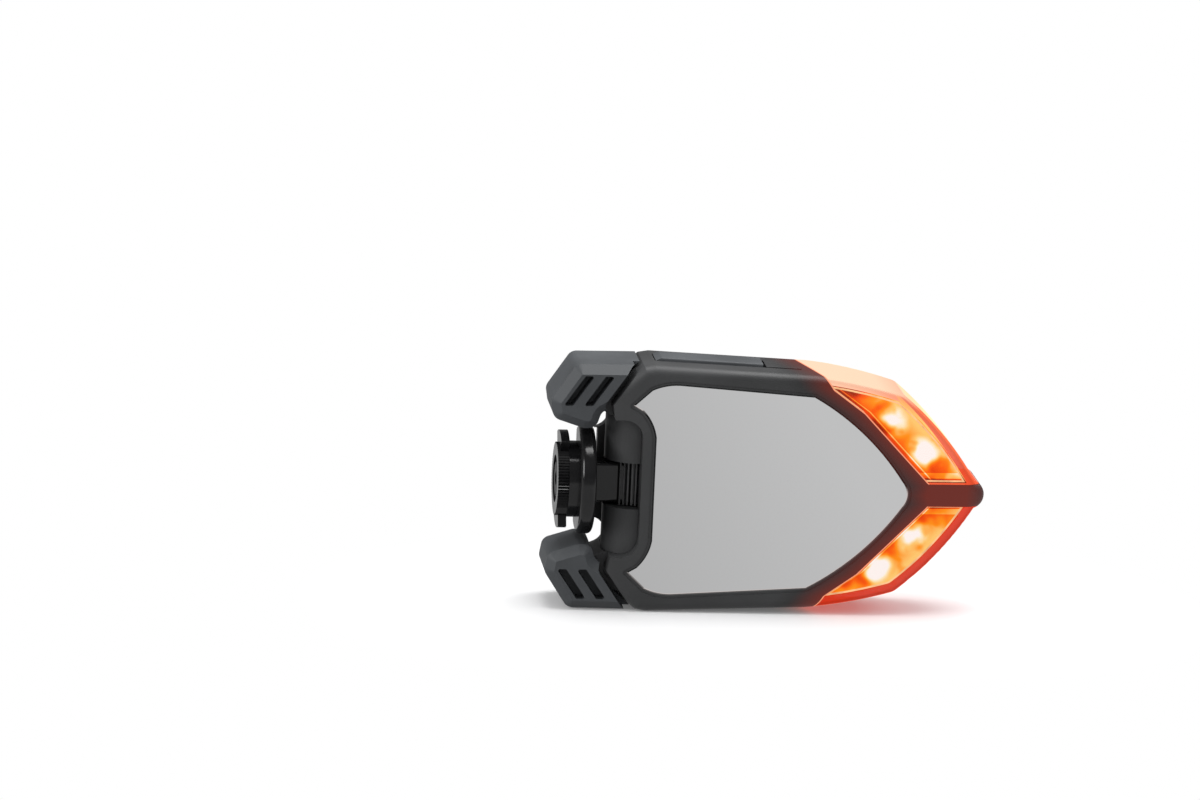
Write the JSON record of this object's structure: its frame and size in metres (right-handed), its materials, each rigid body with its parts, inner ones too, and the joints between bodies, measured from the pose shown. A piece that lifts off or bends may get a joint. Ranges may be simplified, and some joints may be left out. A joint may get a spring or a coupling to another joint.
{
  "type": "bar-end mirror with turn indicators",
  "caption": "Shield-shaped handlebar-end mirror with wrap-round turn indicator lenses at its tip and a folding bayonet mount between two slotted rubber horns.",
  "frame": {"origin": "middle of the object's box, at the lowest line of the long side that it lies on", "axes": "+X from the mount to the tip along the mirror, -Y the way the glass faces, +Z across the mirror towards the side with the push bar"},
  "size_m": [0.118, 0.0266, 0.0683],
  "materials": {
    "housing": "fine satin texture",
    "horn_rubber": "soft matt",
    "mirror": "polished",
    "lens": "clear orange, polished",
    "diffuser": "milky",
    "pad": "foam",
    "gloss_black": "polished",
    "steel": "satin",
    "black_screw": "blackened",
    "board": "solder mask",
    "white_board": "white solder mask",
    "lamp": "clear resin",
    "cell": "foil",
    "flap_rubber": "soft matt"
  },
  "bodies": {
    "head": {"front_bezel": "housing", "rear_cover": "housing", "mirror_glass": "mirror", "glass_pad": "pad", "lamps_front": "lamp", "lamps_rear": "lamp", "main_board": "board", "touch_switch": "steel", "switch_membrane": "pad", "battery_cell": "cell", "battery_pad": "pad", "charge_socket": "steel", "flap_anchor": "flap_rubber", "bar_pin": "steel", "side_strip": "housing", "knuckle_frame": "housing", "hinge_pin": "steel", "frame_screws": "steel", "housing_screws": "black_screw", "lens_upper": "lens", "lens_lower": "lens", "diffuser_upper": "diffuser", "diffuser_lower": "diffuser", "lamp_board_upper": "white_board", "lamp_board_lower": "white_board", "horn_upper": "horn_rubber", "horn_lower": "horn_rubber"},
    "mount": {"mount_arm": "gloss_black", "bayonet_cap": "gloss_black", "bayonet_screw": "black_screw"},
    "flap": {"port_flap": "flap_rubber"},
    "bar": {"push_bar": "horn_rubber"}
  },
  "joints": [
    {"name": "mount_fold", "type": "hinge", "parent": "head", "child": "mount", "pos_m": [-0.035, 0.00135, 0.03375], "axis": [0, 0, 1], "range_deg": [-6, 50]},
    {"name": "flap_open", "type": "hinge", "parent": "head", "child": "flap", "pos_m": [0.02385, 0.01335, 0.03375], "axis": [0, 0, -1], "range_deg": [0, 110]},
    {"name": "bar_press", "type": "hinge", "parent": "head", "child": "bar", "pos_m": [-0.0294, 0.00215, 0.06652], "axis": [0, 1, 0], "range_deg": [0, 1.8], "stiffness_Nm_per_rad": 1}
  ]
}
